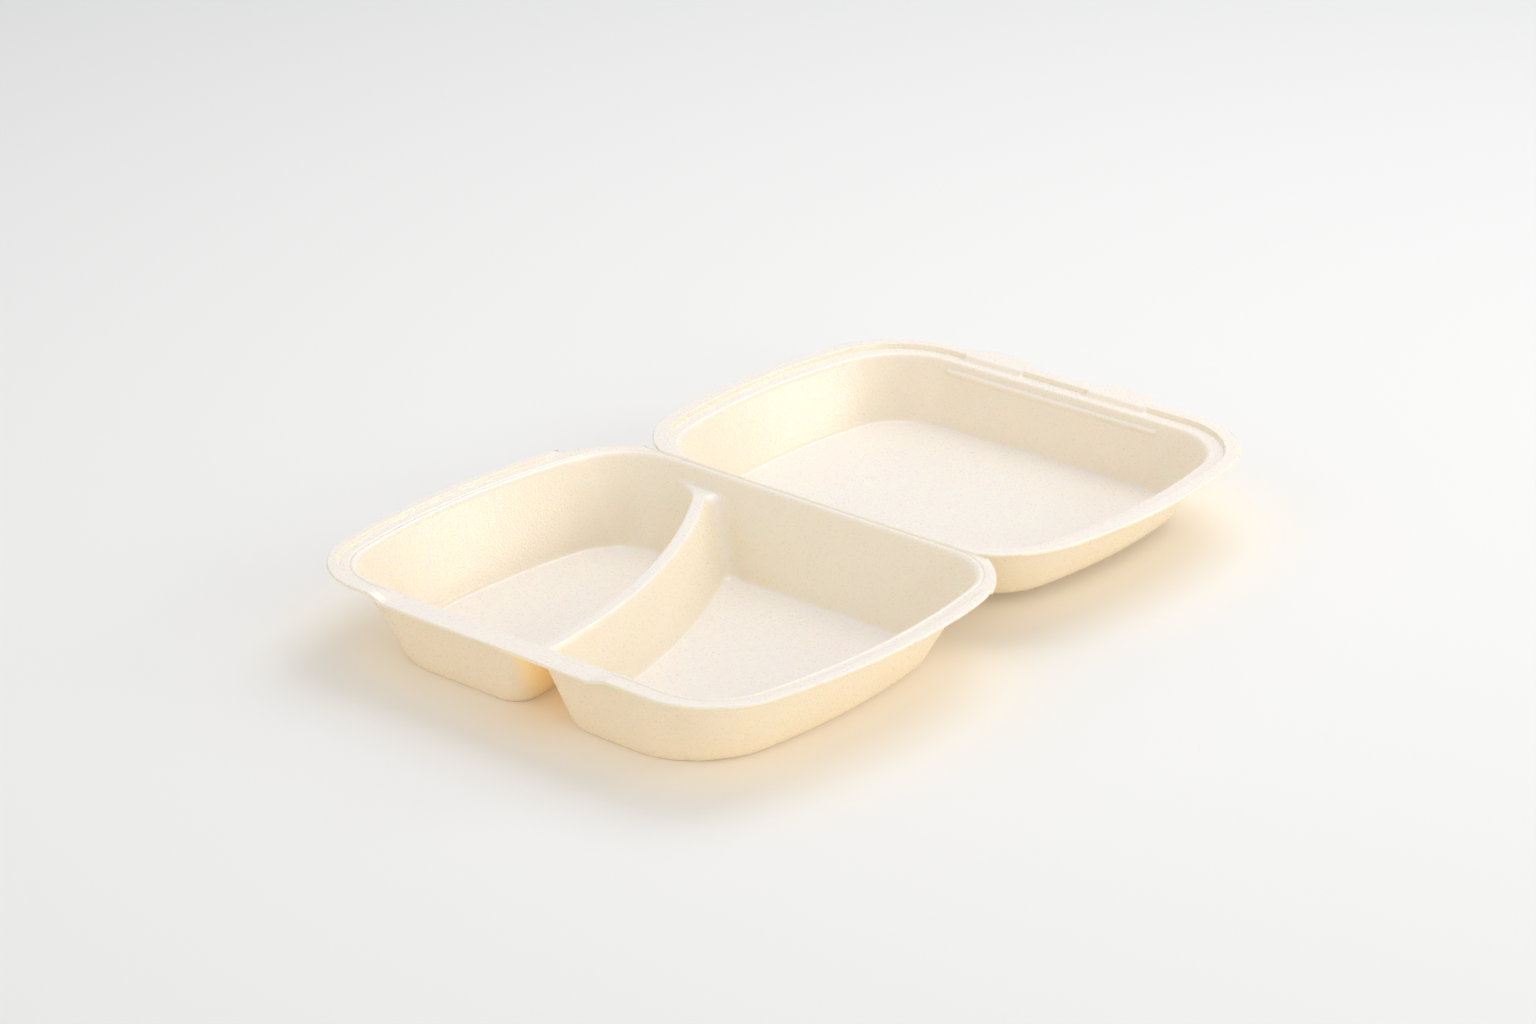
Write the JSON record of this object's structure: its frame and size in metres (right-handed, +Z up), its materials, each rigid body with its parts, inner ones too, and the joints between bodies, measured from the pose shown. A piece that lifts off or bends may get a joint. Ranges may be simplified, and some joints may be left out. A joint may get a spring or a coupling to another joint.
{
  "type": "hinged compartment meal box",
  "caption": "Hinged foam meal box, shown open: a tray split by a curved divider, joined by a folding crease to a shallow lid with closing tabs.",
  "frame": {"origin": "on the table, under the middle of the open box", "axes": "+X along the hinge, +Y from the tray to the lid, +Z up"},
  "size_m": [0.245, 0.3772, 0.0372],
  "materials": {
    "tray_foam": "pale champagne foam sheet, matt with a fine sheen",
    "lid_foam": "pale champagne foam sheet, matt with a fine sheen"
  },
  "bodies": {
    "tray": {"base_tray": "tray_foam"},
    "lid": {"lid": "lid_foam"}
  },
  "joints": [
    {"name": "lid_hinge", "type": "hinge", "parent": "tray", "child": "lid", "pos_m": [0, -0.0002, 0.03585], "axis": [1, 0, 0], "range_deg": [0, 180]}
  ]
}
